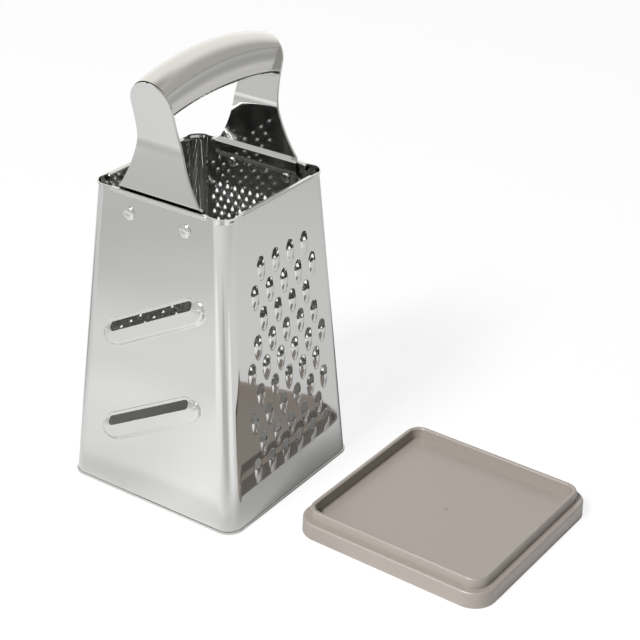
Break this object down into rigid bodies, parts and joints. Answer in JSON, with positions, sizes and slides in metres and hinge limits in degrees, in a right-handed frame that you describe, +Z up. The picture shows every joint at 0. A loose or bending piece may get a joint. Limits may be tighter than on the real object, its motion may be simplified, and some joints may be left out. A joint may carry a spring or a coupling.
{
  "type": "box grater",
  "caption": "Tapered steel box grater with coarse, medium, fine and slicing walls, an arched tube handle on riveted brackets, and a loose square base tray.",
  "frame": {"origin": "middle of the grater's open base, on the surface it stands on", "axes": "+X from the fine wall to the coarse wall, +Y from the slicing wall to the medium wall behind it, +Z up"},
  "size_m": [0.2481, 0.1376, 0.2398],
  "materials": {
    "polished_steel": "polished",
    "satin_steel": "satin",
    "taupe_plastic": "semi-gloss"
  },
  "bodies": {
    "grater": {"slicer_wall": "polished_steel", "coarse_wall": "polished_steel", "medium_wall": "polished_steel", "fine_wall": "polished_steel", "base_hem": "polished_steel", "front_bracket": "polished_steel", "rear_bracket": "polished_steel", "front_rivet_left": "polished_steel", "front_rivet_right": "polished_steel", "rear_rivet_left": "polished_steel", "rear_rivet_right": "polished_steel", "grip_top": "satin_steel", "grip_bottom": "satin_steel"},
    "tray": {"base_tray": "taupe_plastic"}
  },
  "joints": [
    {"name": "tray_lift", "type": "slide", "parent": "grater", "child": "tray", "axis": [0, 0, 1], "range_m": [0, 0.25]}
  ]
}
